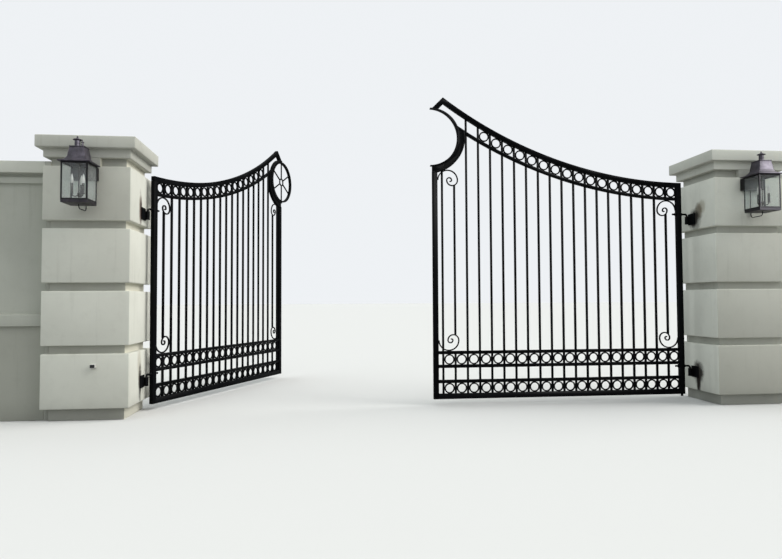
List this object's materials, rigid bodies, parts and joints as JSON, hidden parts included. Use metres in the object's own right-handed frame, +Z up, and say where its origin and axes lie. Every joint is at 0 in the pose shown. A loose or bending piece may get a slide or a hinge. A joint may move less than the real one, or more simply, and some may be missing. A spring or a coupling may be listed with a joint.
{
  "type": "driveway gate",
  "caption": "Swept two-leaf wrought iron driveway gate with ring bands, scrolls and a round medallion, on rendered piers with lanterns and garden walls.",
  "frame": {"origin": "on the drive's surface, in the middle of the opening, on the line of the closed gate (the line through both leaves' hinge pins)", "axes": "+X to the right as seen from the street, +Y inward from the street to the garden, +Z up"},
  "size_m": [9.18, 3.3786, 2.9853],
  "materials": {
    "black_iron": "satin black paint",
    "hinge_iron": "satin black paint, a little rust",
    "masonry": "smooth painted render, weather stained",
    "aged_copper": "dark aged copper",
    "lantern_glass": "clear",
    "burner_brass": "dull",
    "sensor_plastic": "matte"
  },
  "bodies": {
    "piers": {"left_pier": "masonry", "left_cap": "masonry", "left_wall": "masonry", "left_hinge_brackets": "hinge_iron", "left_lantern_base": "aged_copper", "left_lantern_cage": "aged_copper", "left_lantern_glass": "lantern_glass", "left_lantern_hood": "aged_copper", "left_lantern_burner": "burner_brass", "left_sensor": "sensor_plastic", "right_pier": "masonry", "right_cap": "masonry", "right_wall": "masonry", "right_hinge_brackets": "hinge_iron", "right_lantern_base": "aged_copper", "right_lantern_cage": "aged_copper", "right_lantern_glass": "lantern_glass", "right_lantern_hood": "aged_copper", "right_lantern_burner": "burner_brass"},
    "left_leaf": {"left_hinge_stile": "black_iron", "left_latch_stile": "black_iron", "left_bottom_rail": "black_iron", "left_mid_rails": "black_iron", "left_top_rail": "black_iron", "left_second_rail": "black_iron", "left_pickets": "black_iron", "left_ring_bands": "black_iron", "left_top_rings": "black_iron", "left_scrolls": "black_iron", "left_crescent": "black_iron", "left_hinge_bolts": "black_iron", "left_medallion": "black_iron"},
    "right_leaf": {"right_hinge_stile": "black_iron", "right_latch_stile": "black_iron", "right_bottom_rail": "black_iron", "right_mid_rails": "black_iron", "right_top_rail": "black_iron", "right_second_rail": "black_iron", "right_pickets": "black_iron", "right_ring_bands": "black_iron", "right_top_rings": "black_iron", "right_scrolls": "black_iron", "right_crescent": "black_iron", "right_hinge_bolts": "black_iron"}
  },
  "joints": [
    {"name": "left_leaf_hinge", "type": "hinge", "parent": "piers", "child": "left_leaf", "pos_m": [-2.64, 0, 1], "axis": [0, 0, 1], "range_deg": [-66.6, 23.4]},
    {"name": "right_leaf_hinge", "type": "hinge", "parent": "piers", "child": "right_leaf", "pos_m": [2.64, 0, 1], "axis": [0, 0, -1], "range_deg": [0, 90]}
  ]
}
